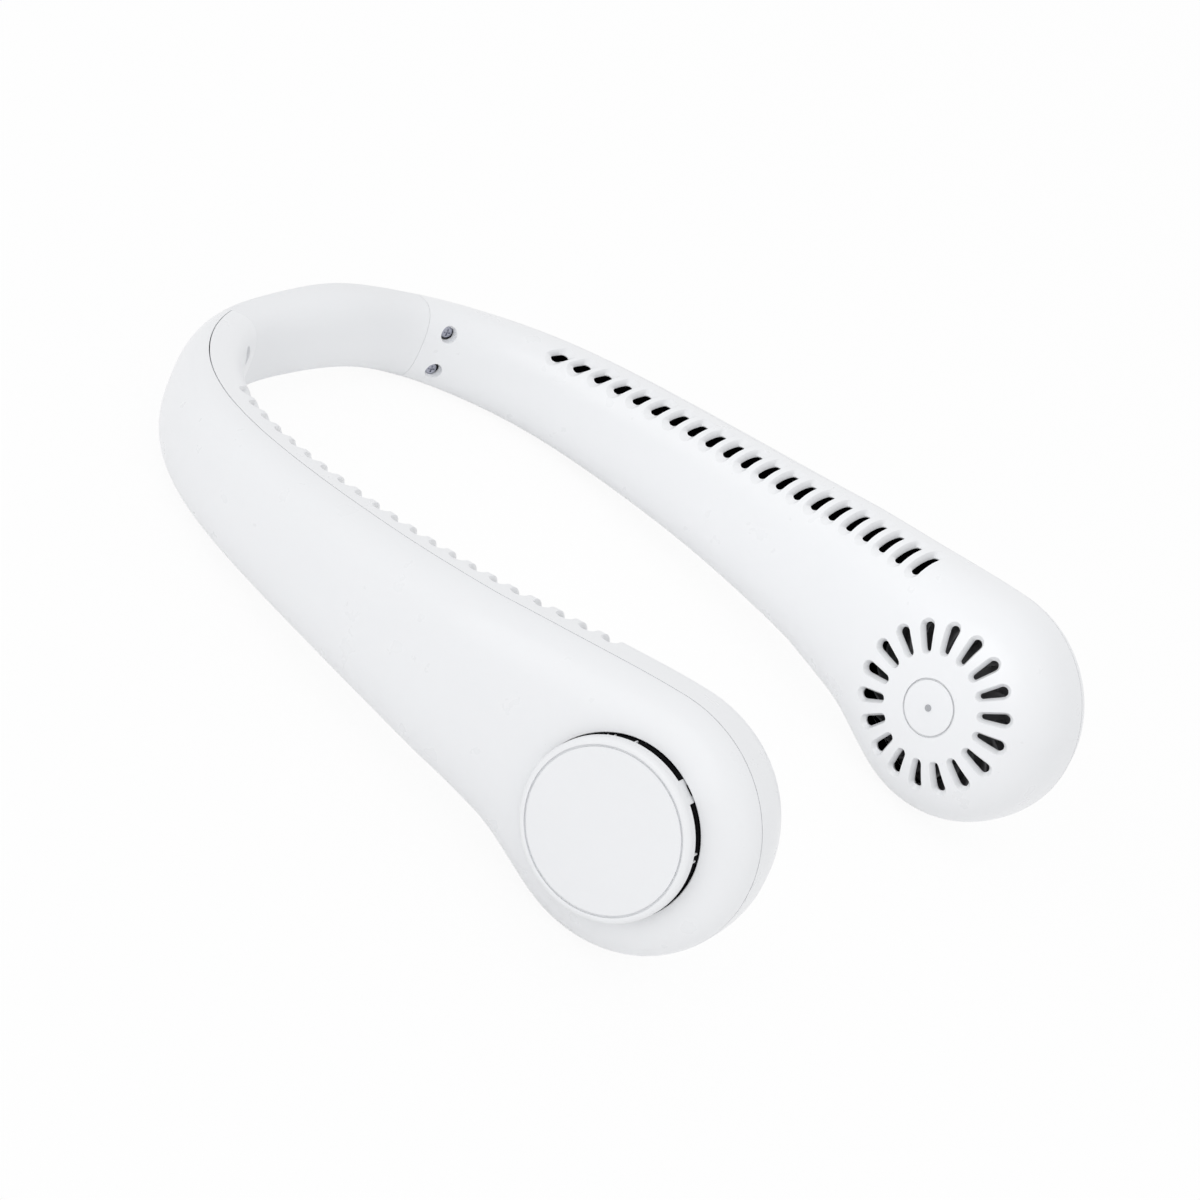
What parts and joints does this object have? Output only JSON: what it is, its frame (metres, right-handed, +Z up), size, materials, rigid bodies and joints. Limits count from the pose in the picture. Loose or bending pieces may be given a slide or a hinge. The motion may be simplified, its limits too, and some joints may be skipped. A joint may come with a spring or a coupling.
{
  "type": "electric neck fan",
  "caption": "U-shaped hands-free fan worn round the neck: hollow white arms with top air slots, round fan heads with capped intake and radial grille, and a soft flexible band behind.",
  "frame": {"origin": "on the table under the middle of the fan's box, with the fan lying on its heads and the rear of its arms", "axes": "+X to the wearer's left, +Y to the back where the soft band is, +Z up; the heads are at -Y"},
  "size_m": [0.2016, 0.21, 0.062],
  "materials": {
    "white_shell": "satin white ABS",
    "white_trim": "glossy white ABS",
    "soft_white": "matte white silicone",
    "black_plastic": "moulded black",
    "screw_steel": "zinc plated",
    "motor_steel": "drawn can",
    "spring_steel": "bright strip",
    "cable_black": "flat insulated cable",
    "battery_foil": "foil pouch cell",
    "board_green": "glass epoxy board",
    "clear_window": "clear light pipe"
  },
  "bodies": {
    "band": {"neck_band": "soft_white", "band_core": "spring_steel", "band_cable": "cable_black"},
    "left_arm": {"left_outer_shell": "white_shell", "left_inner_cover": "white_shell", "left_cover_screws": "screw_steel", "left_intake_cap": "white_shell", "left_cap_disc": "white_trim", "left_hub_badge": "white_trim", "left_motor": "motor_steel", "left_duct_floor": "black_plastic", "left_battery": "battery_foil", "circuit_board": "board_green", "usb_socket": "screw_steel", "power_switch": "black_plastic", "indicator_window": "clear_window"},
    "right_arm": {"right_outer_shell": "white_shell", "right_inner_cover": "white_shell", "right_cover_screws": "screw_steel", "right_intake_cap": "white_shell", "right_cap_disc": "white_trim", "right_hub_badge": "white_trim", "right_motor": "motor_steel", "right_duct_floor": "black_plastic", "right_battery": "battery_foil"},
    "left_rotor": {"left_impeller": "black_plastic", "left_shaft": "screw_steel"},
    "right_rotor": {"right_impeller": "black_plastic", "right_shaft": "screw_steel"},
    "button": {"power_button": "white_trim"}
  },
  "joints": [
    {"name": "left_arm_flex", "type": "hinge", "parent": "band", "child": "left_arm", "pos_m": [0.01898, 0.0967, 0.01019], "axis": [0, 0.194, 0.981], "range_deg": [-5, 15], "stiffness_Nm_per_rad": 1.2, "deforming": ["neck_band", "band_core", "band_cable"]},
    {"name": "right_arm_flex", "type": "hinge", "parent": "band", "child": "right_arm", "pos_m": [-0.01898, 0.0967, 0.01019], "axis": [0, -0.194, -0.981], "range_deg": [-5, 15], "stiffness_Nm_per_rad": 1.2, "deforming": ["neck_band", "band_core", "band_cable"]},
    {"name": "left_fan_spin", "type": "hinge", "parent": "left_arm", "child": "left_rotor", "pos_m": [0.0826, -0.07402, 0.031], "axis": [0.9954, -0.0938, 0.0185], "continuous": true},
    {"name": "right_fan_spin", "type": "hinge", "parent": "right_arm", "child": "right_rotor", "pos_m": [-0.0826, -0.07402, 0.031], "axis": [-0.9954, -0.0938, 0.0185], "continuous": true},
    {"name": "button_press", "type": "slide", "parent": "left_arm", "child": "button", "axis": [-0.9556, -0.2892, 0.0572], "range_m": [0, 0.0008], "stiffness_N_per_m": 400}
  ]
}
